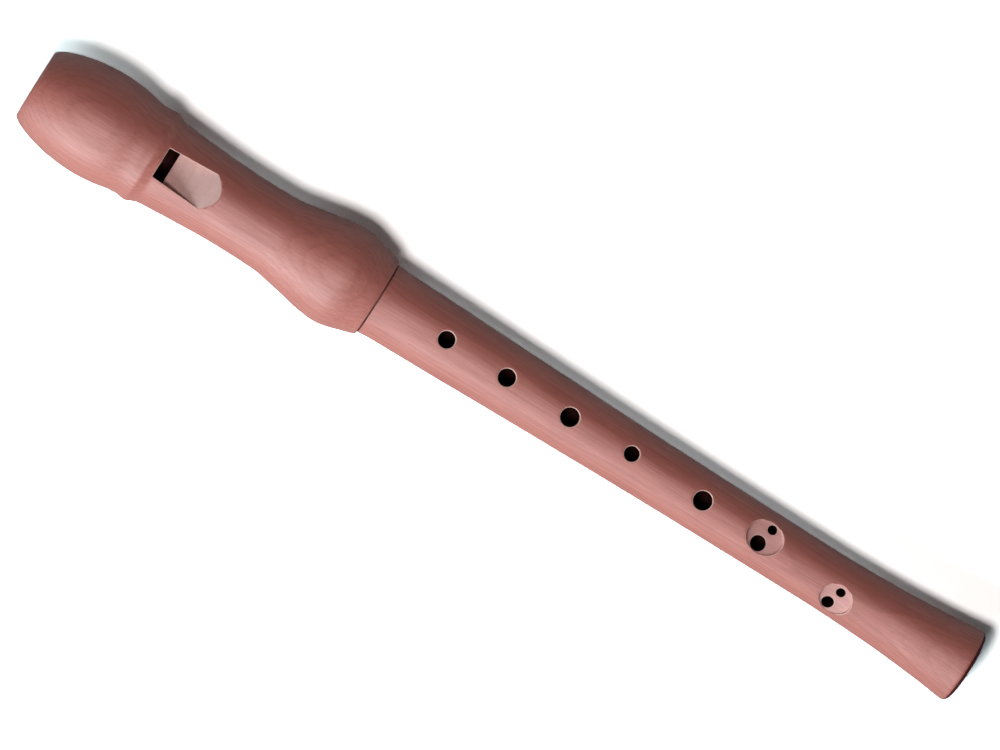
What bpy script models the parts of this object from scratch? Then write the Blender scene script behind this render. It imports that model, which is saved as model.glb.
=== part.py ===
"""A small two-joint recorder in pearwood, with a cedar block and a corked tenon.

It lies along X with the beak at -X, the foot at +X and the finger holes up (+Z), resting on its widest
turning. All lengths are in metres. A "station" is a distance along the instrument from the beak's tip,
and an outline is a list of (station, radius) pairs that is turned about the instrument's axis.
"""

from math import cos, pi, radians, sin, sqrt

import bmesh
import bpy
from mathutils import Matrix, Vector

# Whole instrument
LENGTH = 0.3271
SIDES = 40
CLEARANCE = 0.0003
WELD = 0.000001

# Head joint, outside: the tip's eased edge, the beak, the bead and cove behind it, the waist, and the
# swelling over the socket
TIP_EDGE = [(0.0, 0.0107), (0.0003, 0.0112)]
BEAK = [
    (0.0009, 0.0118), (0.0024, 0.0127), (0.0050, 0.0138), (0.0090, 0.0150), (0.0140, 0.0160),
    (0.0220, 0.0166), (0.0290, 0.0161), (0.0345, 0.0151),
]
BEAD = [(0.0370, 0.0149), (0.0392, 0.01515), (0.0406, 0.0151), (0.0422, 0.0144), (0.0438, 0.0138)]
WAIST = [(0.0460, 0.0136), (0.0540, 0.01302), (0.0640, 0.01242), (0.0720, 0.01222), (0.0800, 0.0123)]
SWELLING = [
    (0.0850, 0.0125), (0.0890, 0.0132), (0.0945, 0.0142), (0.1000, 0.0153), (0.1060, 0.0159),
    (0.1100, 0.01545), (0.1140, 0.0143), (0.1186, 0.0129),
]
HEAD_END = 0.1193
HEAD_END_R = 0.0124

# Head joint, inside: a plain bore with the socket for the tenon
HEAD_BORE_R = 0.0063
SOCKET_R = 0.0087
SOCKET_DEPTH = 0.0227

# Beak underside: a hollow arc from the tip to just before the bead
BEAK_UNDER_TIP = -0.0020
BEAK_UNDER_ARC_R = 0.0682
BEAK_UNDER_TIP_SLOPE = 0.10
BEAK_UNDER_END = 0.0350

# Windway, window and labium, the part of the head that makes the sound. Heights are above the axis.
WINDOW_START = 0.0436
LABIUM_EDGE = 0.0472
WINDOW_HALF_WIDTH = 0.0049
WINDWAY_TIP_HALF_WIDTH = 0.0059
WINDWAY_FLOOR = 0.00605
WINDWAY_ROOF_TIP = 0.0081
WINDWAY_ROOF_MIDDLE = 0.0075
WINDWAY_ROOF_EXIT = 0.0072
WINDWAY_CHAMFER = 0.0007
LABIUM_TOP = 0.0068
LABIUM_UNDERSIDE = 0.0065
LABIUM_UNDERSIDE_END = 0.0540
LABIUM_UNDERSIDE_FADE = 0.0030
RAMP_SLOPE = 0.343
RAMP_END = 0.0660
RAMP_END_HALF_WIDTH = 0.0061

# Body joint: outside, rounded foot, tenon with its cork groove, and the tapering bore
BODY = [
    (0.1196, 0.0117), (0.1240, 0.0114), (0.1450, 0.0110), (0.1650, 0.0105), (0.1850, 0.0101),
    (0.2050, 0.0097), (0.2250, 0.00943), (0.2450, 0.00925), (0.2650, 0.00913), (0.2780, 0.00912),
    (0.2900, 0.0094), (0.3000, 0.0098), (0.3080, 0.01035), (0.3160, 0.0110), (0.3252, 0.01205),
]
FOOT_EDGE_R = 0.0019
TENON_END = 0.0971
TENON_R = 0.0082
TENON_CHAMFER = 0.0005
CORK_START = 0.1015
CORK_END = 0.1165
CORK_GROOVE_R = 0.0074
CORK_R = 0.0084
CORK_EDGE = 0.0003
BODY_BORE = [(TENON_END, 0.0061), (0.1500, 0.0058), (0.3000, 0.0047), (LENGTH, 0.0049)]
BORE_MOUTH_CHAMFER = 0.0004

# The body sits turned a little in its socket, so that its line of holes lies beside the window's.
HOLE_LINE = radians(-2.6)

# Tone holes: (name, station, diameter, turn about the axis from the line of holes)
TONE_HOLES = [
    ("hole_1", 0.1428, 0.0052, 0.0),
    ("hole_2", 0.1639, 0.0054, 0.0),
    ("hole_3", 0.1860, 0.0058, 0.0),
    ("hole_4", 0.2074, 0.0047, radians(-3.4)),
    ("hole_5", 0.2327, 0.0058, 0.0),
    ("thumb_hole", 0.1310, 0.0050, pi),
]

# Double holes: two holes in one flat-bottomed recess, whose turn from the line of holes suits the finger.
# The spread is how far the recess widens for its depth. Each hole is (along from the recess centre, across
# from it, diameter).
RECESS_6 = {"station": 0.2543, "radius": 0.0052, "flat": 0.0075, "spread": 0.45, "turn": radians(-3.4)}
HOLES_6 = [(-0.0008, -0.00235, 0.0048), (0.0009, 0.00325, 0.0029)]
RECESS_7 = {"station": 0.2820, "radius": 0.0049, "flat": 0.0078, "spread": 0.10, "turn": radians(27.1)}
HOLES_7 = [(-0.0014, -0.0024, 0.0038), (0.0003, 0.0024, 0.0029)]
HOLE_SIDES = 24

# Single holes are undercut: they widen where they enter the bore, between these two heights.
UNDERCUT = 0.0005
UNDERCUT_LOW = 0.0050
UNDERCUT_HIGH = 0.0080

# Cutters end clear of the wood: beyond the outside, inside the bore, or past the tip of the beak.
BEYOND_OUTSIDE = 0.0200
WITHIN_BORE = 0.0020
PAST_TIP = -0.0010

# The widest turning touches the ground on one of its flats, which sets the height of the axis.
AXIS_Z = max(radius for station, radius in SWELLING)


def clear_scene():
    """Removes what the scene holds before the model is made."""
    for obj in list(bpy.data.objects):
        bpy.data.objects.remove(obj, do_unlink=True)


def material(name, colour, roughness):
    """A plain Principled material."""
    made = bpy.data.materials.new(name)
    made.use_nodes = True
    shader = made.node_tree.nodes["Principled BSDF"]
    shader.inputs["Base Color"].default_value = (*colour, 1.0)
    shader.inputs["Roughness"].default_value = roughness
    shader.inputs["Metallic"].default_value = 0.0
    return made


def curve_through(points, per_span=2):
    """A smooth curve through (station, radius) points: a cubic in each span, with averaged end slopes."""
    slopes = []
    for i in range(len(points)):
        before = points[max(i - 1, 0)]
        after = points[min(i + 1, len(points) - 1)]
        slopes.append((after[1] - before[1]) / (after[0] - before[0]))
    curve = []
    for i in range(len(points) - 1):
        (x0, r0), (x1, r1) = points[i], points[i + 1]
        span = x1 - x0
        for step in range(per_span):
            t = step / per_span
            rise = (2 * t**3 - 3 * t**2 + 1) * r0 + (3 * t**2 - 2 * t**3) * r1
            bend = (t**3 - 2 * t**2 + t) * slopes[i] + (t**3 - t**2) * slopes[i + 1]
            curve.append((x0 + t * span, rise + span * bend))
    curve.append(points[-1])
    return curve


def quarter_round(start, radius, steps=4):
    """An edge rounded from the (station, radius) point start to the flat end face, start left out."""
    points = []
    for i in range(1, steps + 1):
        turn = i / steps * pi / 2
        points.append((start[0] + radius * sin(turn), start[1] - radius * (1 - cos(turn))))
    return points


def object_from(name, mesh_data, turn=0.0):
    """Makes an object of a bmesh built about the axis, its origin on the axis at the middle of the length."""
    bmesh.ops.recalc_face_normals(mesh_data, faces=mesh_data.faces)
    mesh = bpy.data.meshes.new(name)
    mesh_data.to_mesh(mesh)
    mesh_data.free()
    obj = bpy.data.objects.new(name, mesh)
    bpy.context.scene.collection.objects.link(obj)
    obj.location = (0.0, 0.0, AXIS_Z)
    obj.rotation_euler = (turn, 0.0, 0.0)
    return obj


def turned(name, outline, sides=SIDES):
    """Turns a closed outline about the axis. The flats, not the corners, have the radius asked for."""
    half_flat = pi / sides
    corner = 1 / cos(half_flat)
    shape = bmesh.new()
    ring = []
    for station, radius in outline:
        start = Vector((station - LENGTH / 2, 0.0, -radius * corner))
        ring.append(shape.verts.new(Matrix.Rotation(half_flat, 3, "X") @ start))
    edges = [shape.edges.new((ring[i - 1], ring[i])) for i in range(len(ring))]
    bmesh.ops.spin(
        shape, geom=ring + edges, cent=(0, 0, 0), axis=(1, 0, 0), angle=2 * pi, steps=sides, use_merge=True
    )
    bmesh.ops.remove_doubles(shape, verts=shape.verts, dist=WELD)
    return object_from(name, shape)


def milled(name, outline, half_width):
    """A side-view outline of (station, height) points carried across Y, where half_width(station) is its reach."""
    shape = bmesh.new()
    sides = []
    for side in (-1, 1):
        points = [(s - LENGTH / 2, side * half_width(s), z) for s, z in outline]
        sides.append([shape.verts.new(point) for point in points])
    for side in sides:
        shape.faces.new(side)
    for i in range(len(outline)):
        shape.faces.new((sides[0][i - 1], sides[0][i], sides[1][i], sides[1][i - 1]))
    return object_from(name, shape)


def drilled(name, station, across, levels, turn=0.0, sides=HOLE_SIDES):
    """A round cutter along a radius of the instrument, through (height, radius) levels, turned about the axis."""
    shape = bmesh.new()
    loops = []
    for height, radius in levels:
        loop = []
        for i in range(sides):
            angle = 2 * pi * i / sides
            x = station - LENGTH / 2 + radius * cos(angle)
            loop.append(shape.verts.new((x, across + radius * sin(angle), height)))
        loops.append(loop)
    for lower, upper in zip(loops, loops[1:]):
        for i in range(sides):
            shape.faces.new((lower[i - 1], lower[i], upper[i], upper[i - 1]))
    shape.faces.new(loops[0])
    shape.faces.new(loops[-1])
    return object_from(name, shape, turn)


def helper(obj):
    """Marks an object as a cutting tool or a blank that isn't part of the instrument."""
    obj.hide_render = True
    obj.display_type = "WIRE"
    return obj


def apply_boolean(obj, other, operation="DIFFERENCE"):
    """Cuts or joins one helper with a Boolean modifier."""
    modifier = obj.modifiers.new(other.name, "BOOLEAN")
    modifier.operation = operation
    modifier.solver = "EXACT"
    modifier.object = helper(other)


def finish(obj, look):
    """Gives a piece its material and smooth turned surfaces."""
    obj.data.materials.append(look)
    obj.data.shade_smooth()
    obj.data.set_sharp_from_angle(angle=radians(30))


def tapering(start, start_value, end, end_value):
    """A value that changes evenly from one station to another."""
    rate = (end_value - start_value) / (end - start)
    return lambda station: start_value + rate * (station - start)


def head_outline():
    """The head from the tip over the outside to the socket, and back through the socket and bore."""
    outside = TIP_EDGE + curve_through(BEAK + BEAD + WAIST + SWELLING) + [(HEAD_END, HEAD_END_R)]
    socket_floor = HEAD_END - SOCKET_DEPTH
    inside = [
        (HEAD_END, SOCKET_R + CORK_EDGE),
        (HEAD_END - CORK_EDGE, SOCKET_R),
        (socket_floor, SOCKET_R),
        (socket_floor, HEAD_BORE_R),
        (0.0, HEAD_BORE_R),
    ]
    return outside + inside


def beak_underside(name):
    """The hollow arc under the beak, as a cutter that reaches below and past the instrument."""
    tip_turn = BEAK_UNDER_TIP_SLOPE
    centre_x = -BEAK_UNDER_ARC_R * sin(tip_turn)
    centre_z = BEAK_UNDER_TIP - BEAK_UNDER_ARC_R * cos(tip_turn)
    steps = 14
    outline = []
    for i in range(steps + 1):
        station = PAST_TIP + (BEAK_UNDER_END - PAST_TIP) * i / steps
        outline.append((station, centre_z + sqrt(BEAK_UNDER_ARC_R**2 - (station - centre_x) ** 2)))
    outline += [(BEAK_UNDER_END, -BEYOND_OUTSIDE), (PAST_TIP, -BEYOND_OUTSIDE)]
    return milled(name, outline, lambda station: BEYOND_OUTSIDE)


windway_half_width = tapering(0.0, WINDWAY_TIP_HALF_WIDTH, WINDOW_START, WINDOW_HALF_WIDTH)


def windway(name):
    """The slot that carries the breath over the block, lower and narrower towards the window."""
    middle = WINDOW_START / 2
    exit_lip = WINDOW_START + CLEARANCE
    roof = [
        (PAST_TIP, WINDWAY_ROOF_TIP), (0.0, WINDWAY_ROOF_TIP), (middle, WINDWAY_ROOF_MIDDLE),
        (WINDOW_START - WINDWAY_CHAMFER, WINDWAY_ROOF_EXIT),
        (exit_lip, WINDWAY_ROOF_EXIT + WINDWAY_CHAMFER + CLEARANCE),
    ]
    floor = [(exit_lip, WITHIN_BORE), (PAST_TIP, WITHIN_BORE)]
    return milled(name, roof + floor, windway_half_width)


def window_and_ramp(name):
    """The window over the end of the windway, and the sloping ramp that ends in the labium's edge."""
    ramp_rise = RAMP_SLOPE * (RAMP_END - LABIUM_EDGE)
    outline = [
        (WINDOW_START, WITHIN_BORE), (LABIUM_EDGE, WITHIN_BORE), (LABIUM_EDGE, LABIUM_TOP),
        (RAMP_END, LABIUM_TOP + ramp_rise), (RAMP_END, BEYOND_OUTSIDE), (WINDOW_START, BEYOND_OUTSIDE),
    ]
    return milled(name, outline, tapering(WINDOW_START, WINDOW_HALF_WIDTH, RAMP_END, RAMP_END_HALF_WIDTH))


def labium_underside(name):
    """The flat under the labium, which fades into the bore."""
    start = (WINDOW_START + LABIUM_EDGE) / 2
    outline = [
        (start, WITHIN_BORE), (start, LABIUM_UNDERSIDE),
        (LABIUM_UNDERSIDE_END - LABIUM_UNDERSIDE_FADE, LABIUM_UNDERSIDE),
        (LABIUM_UNDERSIDE_END, HEAD_BORE_R - CLEARANCE), (LABIUM_UNDERSIDE_END, WITHIN_BORE),
    ]
    return milled(name, outline, lambda station: WINDOW_HALF_WIDTH)


def make_head(look):
    """The head joint: beak, windway, window, labium and socket."""
    head = turned("head_joint", head_outline())
    apply_boolean(head, beak_underside("beak_cutter"))
    apply_boolean(head, windway("windway_cutter"))
    apply_boolean(head, window_and_ramp("window_cutter"))
    apply_boolean(head, labium_underside("labium_cutter"))
    finish(head, look)
    return head


def make_block(look):
    """The block: a round plug with a raised floor that fills the lower part of the windway slot."""
    radius = HEAD_BORE_R - CLEARANCE
    tip = CLEARANCE
    block = turned("block", [(tip, 0.0), (tip, radius), (WINDOW_START, radius), (WINDOW_START, 0.0)])
    floor = [
        (tip, WITHIN_BORE), (tip, WINDWAY_FLOOR), (WINDOW_START - WINDWAY_CHAMFER, WINDWAY_FLOOR),
        (WINDOW_START, WINDWAY_FLOOR - WINDWAY_CHAMFER), (WINDOW_START, WITHIN_BORE),
    ]
    ridge = milled("block_floor", floor, lambda station: windway_half_width(station) - CLEARANCE)
    apply_boolean(block, ridge, "UNION")
    apply_boolean(block, beak_underside("block_cutter"))
    finish(block, look)
    return block


def body_outline():
    """The body from the tenon's end over the cork groove and shoulder to the foot, and back through the bore."""
    shoulder = BODY[0]
    tenon = [
        (TENON_END, TENON_R - TENON_CHAMFER), (TENON_END + TENON_CHAMFER, TENON_R),
        (CORK_START, TENON_R), (CORK_START, CORK_GROOVE_R),
        (CORK_END, CORK_GROOVE_R), (CORK_END, TENON_R),
        (shoulder[0], TENON_R),
    ]
    outside = curve_through(BODY)
    foot = quarter_round(BODY[-1], FOOT_EDGE_R)
    mouth = BODY_BORE[-1]
    bore = [(mouth[0], mouth[1] + BORE_MOUTH_CHAMFER), (mouth[0] - BORE_MOUTH_CHAMFER, mouth[1])]
    bore += BODY_BORE[-2::-1]
    return tenon + outside + foot + bore


def tone_hole(name, station, diameter, turn):
    """A single hole, undercut so that it widens into the bore."""
    radius = diameter / 2
    levels = [
        (WITHIN_BORE, radius + UNDERCUT), (UNDERCUT_LOW, radius + UNDERCUT),
        (UNDERCUT_HIGH, radius), (BEYOND_OUTSIDE, radius),
    ]
    return drilled(name, station, 0.0, levels, HOLE_LINE + turn)


def make_body(look):
    """The body joint: tenon, five single holes, a thumb hole, two double holes and the foot."""
    body = turned("body_joint", body_outline())
    for hole in TONE_HOLES:
        apply_boolean(body, tone_hole(*hole))
    for number, recess, holes in ((6, RECESS_6, HOLES_6), (7, RECESS_7, HOLES_7)):
        station, turn = recess["station"], HOLE_LINE + recess["turn"]
        mouth = recess["radius"] + recess["spread"] * (BEYOND_OUTSIDE - recess["flat"])
        levels = [(recess["flat"], recess["radius"]), (BEYOND_OUTSIDE, mouth)]
        apply_boolean(body, drilled(f"recess_{number}", station, 0.0, levels, turn))
        for letter, (along, across, diameter) in zip("ab", holes):
            levels = [(WITHIN_BORE, diameter / 2), (BEYOND_OUTSIDE, diameter / 2)]
            hole = drilled(f"hole_{number}{letter}", station + along, across, levels, turn)
            apply_boolean(body, hole)
    finish(body, look)
    return body


def make_cork(look):
    """The cork ring in the tenon's groove."""
    start, end = CORK_START + CLEARANCE, CORK_END - CLEARANCE
    inner, outer = CORK_GROOVE_R + CLEARANCE, CORK_R
    outline = [
        (start, inner), (start, outer - CORK_EDGE), (start + CORK_EDGE, outer),
        (end - CORK_EDGE, outer), (end, outer - CORK_EDGE), (end, inner),
    ]
    cork = turned("tenon_cork", outline)
    finish(cork, look)
    return cork


def main():
    """Builds the four pieces of the instrument."""
    clear_scene()
    pearwood = material("pearwood", (0.43, 0.12, 0.09), 0.35)
    cedar = material("cedar", (0.50, 0.27, 0.15), 0.7)
    cork = material("cork", (0.52, 0.36, 0.22), 0.9)
    make_head(pearwood)
    make_block(cedar)
    make_cork(cork)
    make_body(pearwood)


main()
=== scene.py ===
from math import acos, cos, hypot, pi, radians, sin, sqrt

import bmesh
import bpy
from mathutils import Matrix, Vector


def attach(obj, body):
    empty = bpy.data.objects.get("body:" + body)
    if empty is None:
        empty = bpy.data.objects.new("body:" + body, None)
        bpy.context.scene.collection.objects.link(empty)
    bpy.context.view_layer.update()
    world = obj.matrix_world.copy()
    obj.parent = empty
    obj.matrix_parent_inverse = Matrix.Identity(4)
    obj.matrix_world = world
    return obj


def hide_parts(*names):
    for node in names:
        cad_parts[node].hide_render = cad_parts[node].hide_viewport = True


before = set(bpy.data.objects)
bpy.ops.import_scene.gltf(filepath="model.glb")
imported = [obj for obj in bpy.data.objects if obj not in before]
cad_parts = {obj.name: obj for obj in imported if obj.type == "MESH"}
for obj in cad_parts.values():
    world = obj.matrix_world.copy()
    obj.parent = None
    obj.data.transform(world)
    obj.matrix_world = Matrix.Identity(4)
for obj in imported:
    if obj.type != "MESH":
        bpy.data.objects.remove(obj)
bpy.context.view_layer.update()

# The looks of a small pearwood recorder: its four pieces turned and cut finely round the packed
# model, stained and varnished wood, and a soft studio light over a white table. The instrument lies
# along X with the beak at -X and the finger holes up. All lengths are in metres. A "station" is a
# distance along the instrument from the beak's tip, and an outline is a list of (station, radius)
# pairs turned about the axis. The heights of the pieces are above the axis.

# Whole instrument
LENGTH = 0.3271
ROUND_SIDES = 240

# Head joint, outside: tip, beak, bead and cove, waist, and the swelling over the socket
TIP_EDGE = [(0.0, 0.0107), (0.0001, 0.0110), (0.0003, 0.0112)]
BEAK = [
    (0.0009, 0.0118), (0.0024, 0.0127), (0.0050, 0.0138), (0.0090, 0.0150), (0.0140, 0.0160),
    (0.0220, 0.0166), (0.0290, 0.0161), (0.0345, 0.0151),
]
BEAD = [(0.0370, 0.0149), (0.0392, 0.01515), (0.0406, 0.0151), (0.0422, 0.0144), (0.0438, 0.0138)]
WAIST = [
    (0.0460, 0.0136), (0.0540, 0.01302), (0.0640, 0.01242), (0.0720, 0.01222), (0.0800, 0.0123),
]
SWELLING = [
    (0.0850, 0.0125), (0.0890, 0.0132), (0.0945, 0.0142), (0.1000, 0.0153), (0.1060, 0.0159),
    (0.1100, 0.01545), (0.1140, 0.0143), (0.1186, 0.0129),
]
HEAD_END = 0.1193
HEAD_END_EDGE = [(HEAD_END - 0.0002, 0.01268), (HEAD_END, 0.0124)]

# How far back from the head's end its outside can show the dark end grain, darkened partly as
# painted shade
HEAD_END_GRAIN_AND_SHADE = 0.0003

# Head joint, inside: a plain bore with the socket for the tenon
HEAD_BORE_R = 0.0063
SOCKET_R = 0.0087
SOCKET_DEPTH = 0.0227

# Beak underside: a hollow arc from the tip to just before the bead
BEAK_UNDER_TIP = -0.0020
BEAK_UNDER_ARC_R = 0.0682
BEAK_UNDER_TIP_SLOPE = 0.10
BEAK_UNDER_END = 0.0350
BEAK_UNDER_STEPS = 90

# The beak's rim, the edge round its underside: how far it is rounded, how finely, where the points
# of its arc lie between the outside and the underside, and how far the cutter runs on past them
BEAK_RIM_EASE = 0.0005
BEAK_RIM_STEPS = 60
BEAK_RIM_SHARES = (0.16, 0.38, 0.62, 0.84)
BEAK_RIM_REACH = 1.6
BEAK_RIM_OUT = 4 * BEAK_RIM_EASE

# Windway, window and labium
WINDOW_START = 0.0436
LABIUM_EDGE = 0.0472
WINDOW_HALF_WIDTH = 0.0049
WINDWAY_TIP_HALF_WIDTH = 0.0059
WINDWAY_FLOOR = 0.00605
WINDWAY_ROOF_TIP = 0.0081
WINDWAY_ROOF_MIDDLE = 0.0075
WINDWAY_ROOF_EXIT = 0.0072
WINDWAY_CHAMFER = 0.0007
LABIUM_TOP = 0.0068
LABIUM_UNDERSIDE = 0.0065
LABIUM_UNDERSIDE_END = 0.0540
LABIUM_UNDERSIDE_FADE = 0.0030
RAMP_SLOPE = 0.343
RAMP_END = 0.0660
RAMP_END_HALF_WIDTH = 0.0061
WINDOW_EASE = 0.00022
WINDOW_RIM_STEPS = (60, 20, 60, 20)
EXIT_LIP = 0.0003

# Body joint: outside, rounded foot, tenon with its cork groove, and the tapering bore
BODY = [
    (0.1196, 0.0117), (0.1240, 0.0114), (0.1450, 0.0110), (0.1650, 0.0105), (0.1850, 0.0101),
    (0.2050, 0.0097), (0.2250, 0.00943), (0.2450, 0.00925), (0.2650, 0.00913), (0.2780, 0.00912),
    (0.2900, 0.0094), (0.3000, 0.0098), (0.3080, 0.01035), (0.3160, 0.0110), (0.3252, 0.01205),
]
FOOT_EDGE_R = 0.0019
FOOT_EDGE_STEPS = 12
TENON_END = 0.0971
TENON_R = 0.0082
TENON_CHAMFER = 0.0005
CORK_START = 0.1015
CORK_END = 0.1165
CORK_GROOVE_R = 0.0074
CORK_R = 0.0084
CORK_EDGE = 0.0003
CORK_EDGE_STEPS = 5
BODY_BORE = [(TENON_END, 0.0061), (0.1500, 0.0058), (0.3000, 0.0047), (LENGTH, 0.0049)]
BORE_MOUTH_CHAMFER = 0.0004

# The body sits turned a little in its socket, so that its line of holes lies beside the window's.
HOLE_LINE = radians(-2.6)

# Tone holes: (name, station, diameter, turn about the axis from the line of holes)
TONE_HOLES = [
    ("hole_1", 0.1428, 0.0052, 0.0),
    ("hole_2", 0.1639, 0.0054, 0.0),
    ("hole_3", 0.1860, 0.0058, 0.0),
    ("hole_4", 0.2074, 0.0047, radians(-3.4)),
    ("hole_5", 0.2327, 0.0058, 0.0),
    ("thumb_hole", 0.1310, 0.0050, pi),
]

# Double holes: two holes in one recess, whose turn from the line of holes suits the finger. The
# recess has its floor at a height, and its spread is how far it widens for its depth. Each hole is
# (along from the recess's centre, across from it, diameter).
RECESS_6 = {
    "station": 0.2543, "radius": 0.0052, "floor": 0.0075, "spread": 0.45, "turn": radians(-3.4),
}
HOLES_6 = [(-0.0008, -0.00235, 0.0048), (0.0009, 0.00325, 0.0029)]
RECESS_7 = {
    "station": 0.2820, "radius": 0.0049, "floor": 0.0078, "spread": 0.10, "turn": radians(27.1),
}
HOLES_7 = [(-0.0014, -0.0024, 0.0038), (0.0003, 0.0024, 0.0029)]

# A recess's floor is hollow along the instrument to this radius, and is made of this many rings.
HOLLOW_R = 0.024
HOLLOW_STEPS = 6

# Every hole's sides, and how far its mouth is eased: single holes, recesses, and the holes in them
HOLE_SIDES = 64
HOLE_EASE = 0.00035
RECESS_EASE = 0.00025
PAIR_EASE = 0.00015

# How far an eased edge has turned at each of its points. It never lies quite flat with the surface.
LIP_TURNS = [radians(angle) for angle in (0, 22, 44, 65)]

# Single holes are undercut: they widen where they enter the bore, between these two heights.
UNDERCUT = 0.0005
UNDERCUT_LOW = 0.0050
UNDERCUT_HIGH = 0.0080

# Fits: the cork and the block press on the wood, with only this much left between the surfaces.
FINE_GAP = 0.00005

# Cutters end clear of the wood: beyond the outside, inside the bore, past the tip of the beak, or
# just above an eased lip.
BEYOND_OUTSIDE = 0.0200
WITHIN_BORE = 0.0020
PAST_TIP = -0.0010
LIP_CLEAR = 0.00005

# The smallest lengths: what keeps two surfaces apart, and what is welded to one point
SLIVER = 0.00001
WELD = 0.000001

# The widest turning touches the ground, which sets the axis's world height.
AXIS_Z = max(radius for station, radius in SWELLING)
MID = LENGTH / 2

# Material slots of a wooden piece: varnished outside, cut walls, edges paled by wear and painted
# highlight, bore darkened by oil and painted shade, end grain darkened by painted shade
OUTSIDE, CUT, WORN_AND_LIT, BORE_AND_SHADE, END_AND_SHADE = range(5)

# What is turned within these two radii is bare wood, and bore, whose dark tone is partly painted
# shade. End grain, darkened partly as painted shade, is where the outside faces along the fibres by
# more than this share.
BARE_WITHIN = 0.0090
BORE_WITHIN = 0.0065
ACROSS_FIBRES = 0.42

# Edges that turn by more than this stay sharp in the shading.
SHARP_ANGLE = radians(32)


# Shapes

def curve_through(points, per_span):
    """A smooth curve through (station, radius) points: a cubic in each span, with mean slopes."""
    slopes = []
    for i in range(len(points)):
        before = points[max(i - 1, 0)]
        after = points[min(i + 1, len(points) - 1)]
        slopes.append((after[1] - before[1]) / (after[0] - before[0]))
    curve = []
    for i in range(len(points) - 1):
        (x0, r0), (x1, r1) = points[i], points[i + 1]
        span = x1 - x0
        for step in range(per_span):
            t = step / per_span
            rise = (2 * t**3 - 3 * t**2 + 1) * r0 + (3 * t**2 - 2 * t**3) * r1
            bend = (t**3 - 2 * t**2 + t) * slopes[i] + (t**3 - t**2) * slopes[i + 1]
            curve.append((x0 + t * span, rise + span * bend))
    curve.append(points[-1])
    return curve


HEAD_CURVE = curve_through(BEAK + BEAD + WAIST + SWELLING, per_span=7)
BODY_CURVE = curve_through(BODY, per_span=16)


def radius_at(curve, station):
    """The outline's radius at a station."""
    for (x0, r0), (x1, r1) in zip(curve, curve[1:]):
        if station <= x1:
            return r0 + (r1 - r0) * max(0.0, station - x0) / (x1 - x0)
    return curve[-1][1]


def height_on(curve, station, across):
    """How high above the axis the turned surface is, at a station and a distance across."""
    return sqrt(radius_at(curve, station) ** 2 - across**2)


def quarter_round(start, radius, steps):
    """An edge rounded from a (station, radius) point to the flat end face, that point left out."""
    points = []
    for i in range(1, steps + 1):
        turn = i / steps * pi / 2
        points.append((start[0] + radius * sin(turn), start[1] - radius * (1 - cos(turn))))
    return points


def object_from(name, shape, turn=0.0):
    """Makes an object of a bmesh built about the axis, and lifts the axis to its height."""
    bmesh.ops.recalc_face_normals(shape, faces=shape.faces)
    bmesh.ops.rotate(shape, verts=shape.verts, matrix=Matrix.Rotation(turn, 3, "X"))
    bmesh.ops.translate(shape, verts=shape.verts, vec=(0.0, 0.0, AXIS_Z))
    mesh = bpy.data.meshes.new(name)
    shape.to_mesh(mesh)
    shape.free()
    obj = bpy.data.objects.new(name, mesh)
    bpy.context.scene.collection.objects.link(obj)
    return obj


def turned(name, outline, end_from=LENGTH):
    """Turns an outline about the axis. End faces past end_from: end grain with painted shade."""
    shape = bmesh.new()
    ring = [shape.verts.new((station - MID, 0.0, -radius)) for station, radius in outline]
    edges = [shape.edges.new((ring[i - 1], ring[i])) for i in range(len(ring))]
    bmesh.ops.spin(
        shape, geom=ring + edges, cent=(0, 0, 0), axis=(1, 0, 0), angle=2 * pi,
        steps=ROUND_SIDES, use_merge=True,
    )
    bmesh.ops.remove_doubles(shape, verts=shape.verts, dist=WELD)
    shape.normal_update()
    for face in shape.faces:
        reach = max(hypot(vert.co.y, vert.co.z) for vert in face.verts)
        if reach < BORE_WITHIN:
            # The bore takes the near-black tone, which is partly painted shade
            face.material_index = BORE_AND_SHADE
        elif reach < BARE_WITHIN:
            face.material_index = CUT
        elif abs(face.normal.x) > ACROSS_FIBRES and face.calc_center_median().x > end_from - MID:
            # End faces take the dark end-grain tone, which is partly painted shade
            face.material_index = END_AND_SHADE
    return object_from(name, shape)


def milled(name, outline, half_width, slot=CUT):
    """A side view of (station, height) points, carried across Y by half_width(station) each way."""
    shape = bmesh.new()
    sides = []
    for side in (-1, 1):
        points = [(s - MID, side * half_width(s), z) for s, z in outline]
        sides.append([shape.verts.new(point) for point in points])
    for side in sides:
        shape.faces.new(side)
    for i in range(len(outline)):
        shape.faces.new((sides[0][i - 1], sides[0][i], sides[1][i], sides[1][i - 1]))
    for face in shape.faces:
        face.material_index = slot
    return object_from(name, shape)


def stacked(name, loops, pale_from, pale_to, turn=0.0, slot=CUT):
    """A closed solid through a stack of loops; bands pale_from to pale_to are pale edges."""
    shape = bmesh.new()
    rings = [[shape.verts.new(point) for point in loop] for loop in loops]
    for level, (lower, upper) in enumerate(zip(rings, rings[1:])):
        for i in range(len(lower)):
            face = shape.faces.new((lower[i - 1], lower[i], upper[i], upper[i - 1]))
            # The lip's bands take the pale edge tone, partly wear and partly painted highlight
            face.material_index = WORN_AND_LIT if pale_from <= level < pale_to else slot
    for end in (rings[0], rings[-1]):
        shape.faces.new(end).material_index = slot
    return object_from(name, shape, turn)


def eased_lip(ease):
    """(outward, depth) points of a rounded edge, from the wall up to just above the surface."""
    lip = [(ease * (1 - cos(turn)), ease * (1 - sin(turn))) for turn in LIP_TURNS]
    out, depth = lip[-1]
    run = (depth + LIP_CLEAR) / cos(LIP_TURNS[-1])
    lip.append((out + run * sin(LIP_TURNS[-1]), -LIP_CLEAR))
    return lip


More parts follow.
